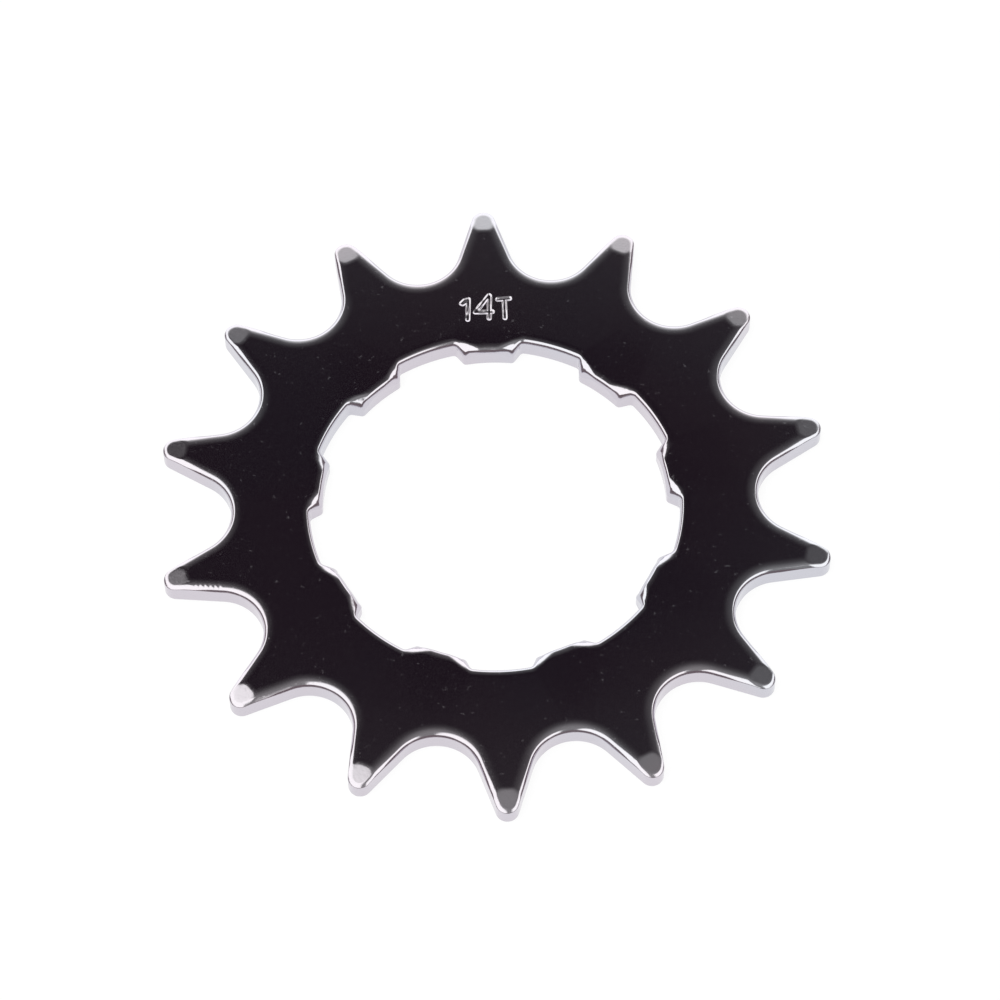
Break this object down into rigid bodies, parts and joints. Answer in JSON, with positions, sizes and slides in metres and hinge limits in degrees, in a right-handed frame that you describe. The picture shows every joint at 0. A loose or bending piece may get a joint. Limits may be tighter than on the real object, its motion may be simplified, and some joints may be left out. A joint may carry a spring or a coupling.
{
  "type": "single speed cog",
  "caption": "Flat chrome-plated steel bicycle cog with coined tooth ends, rolled edges and a lug-splined bore.",
  "frame": {"origin": "on the bore's axis, at the plain lower face that the cog lies on", "axes": "+Z along the bore's axis, out of the face with the rolled edges; +Y through the middle of one tooth and one lug"},
  "size_m": [0.062, 0.0636, 0.0023],
  "materials": {
    "plated_steel": "bright chrome plate over tumbled steel"
  },
  "bodies": {
    "root": {"cog": "plated_steel"}
  },
  "joints": []
}
